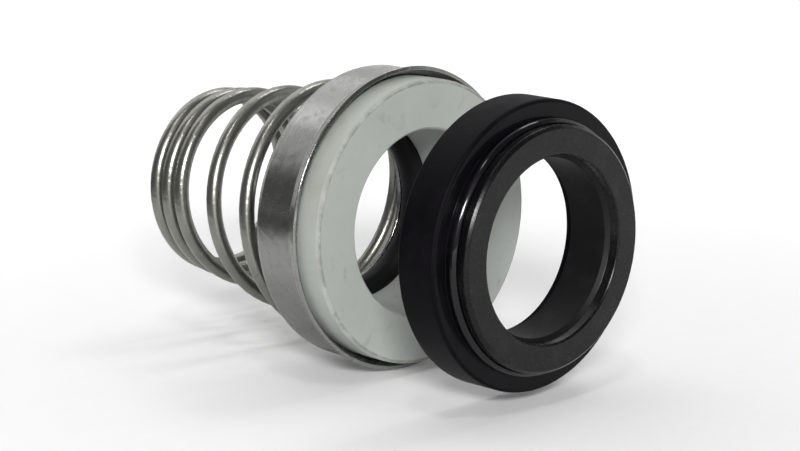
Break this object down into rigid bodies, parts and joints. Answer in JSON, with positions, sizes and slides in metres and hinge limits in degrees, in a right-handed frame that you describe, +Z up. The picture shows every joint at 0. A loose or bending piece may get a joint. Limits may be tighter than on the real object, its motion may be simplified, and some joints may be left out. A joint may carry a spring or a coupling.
{
  "type": "mechanical seal",
  "caption": "Pump shaft seal: a conical spring drives a pressed cup with a white ceramic face ring, next to a black seat of carbon in a rubber boot.",
  "frame": {"origin": "on the shaft axis, in the middle of the seat's outer wall, where the housing grips the rubber boot", "axes": "+X along the shaft axis, from the spring's small end towards the nose of the seat; +Z up; +Y sideways"},
  "size_m": [0.0491, 0.0298, 0.0298],
  "materials": {
    "spring_wire": "bright drawn stainless wire",
    "cup_sheet": "polished stainless sheet",
    "white_ceramic": "ground, satin",
    "oring_rubber": "moulded, satin",
    "carbon": "turned and lapped carbon graphite",
    "boot_rubber": "moulded, matt"
  },
  "bodies": {
    "seat": {"seat_ring": "carbon", "seat_boot": "boot_rubber"},
    "drive": {"conical_spring": "spring_wire"},
    "head": {"retainer_cup": "cup_sheet", "face_ring": "white_ceramic", "shaft_oring": "oring_rubber"}
  },
  "joints": [
    {"name": "shaft_spin", "type": "hinge", "parent": "seat", "child": "drive", "pos_m": [0, 0, 0], "axis": [1, 0, 0], "continuous": true},
    {"name": "face_float", "type": "slide", "parent": "drive", "child": "head", "axis": [1, 0, 0], "range_m": [-0.005, 0], "stiffness_N_per_m": 5000, "deforming": ["conical_spring"]}
  ]
}
